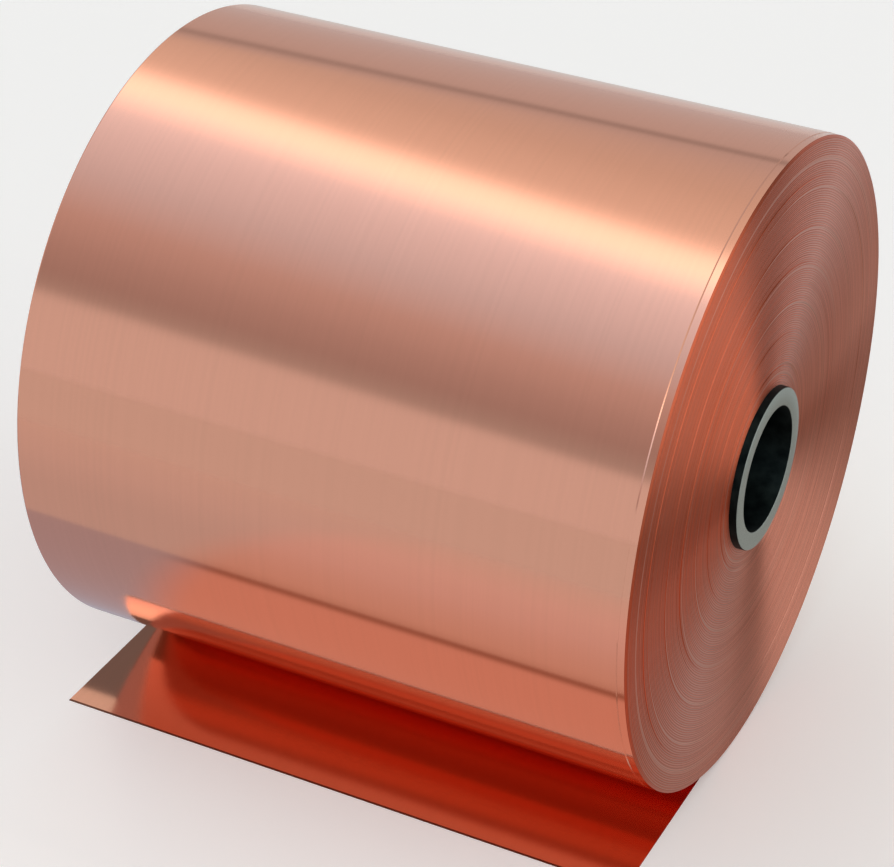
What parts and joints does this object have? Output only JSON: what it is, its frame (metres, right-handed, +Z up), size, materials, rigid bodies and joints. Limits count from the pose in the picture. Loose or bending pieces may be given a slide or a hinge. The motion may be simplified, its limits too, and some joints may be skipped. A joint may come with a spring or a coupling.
{
  "type": "copper foil roll",
  "caption": "Wide roll of bare copper foil wound on a steel core tube, lying on its side with its free end paid out flat; the end bends up and turns round the roll as foil is unwound.",
  "frame": {"origin": "on the surface the roll lies on, straight below the middle of the roll's axis", "axes": "+X along the roll's axis towards its right-hand end, -Y the way the free end lies, +Z up"},
  "size_m": [0.13, 0.132, 0.132],
  "materials": {
    "copper_foil": "gloss",
    "steel_tube": "satin",
    "start_tape": "matte"
  },
  "bodies": {
    "roll": {"core_tube": "steel_tube", "core_start_tape": "start_tape", "foil_inner_wraps": "copper_foil", "foil_middle_wraps": "copper_foil", "foil_outer_wraps": "copper_foil"},
    "tail_near": {"foil_tail_near": "copper_foil"},
    "tail_middle": {"foil_tail_middle": "copper_foil"},
    "tail_end": {"foil_tail_end": "copper_foil"}
  },
  "joints": [
    {"name": "unwind", "type": "hinge", "parent": "roll", "child": "tail_near", "pos_m": [0, 0, 0.066], "axis": [-1, 0, 0], "continuous": true},
    {"name": "near_bend", "type": "hinge", "parent": "tail_near", "child": "tail_middle", "pos_m": [0, -0.022, 0.00005], "axis": [-1, 0, 0], "range_deg": [0, 22]},
    {"name": "far_bend", "type": "hinge", "parent": "tail_middle", "child": "tail_end", "pos_m": [0, -0.0385, 0.00005], "axis": [-1, 0, 0], "range_deg": [0, 22]}
  ],
  "couplings": [
    {"joint": "far_bend", "follows": "near_bend", "ratio": 1}
  ]
}
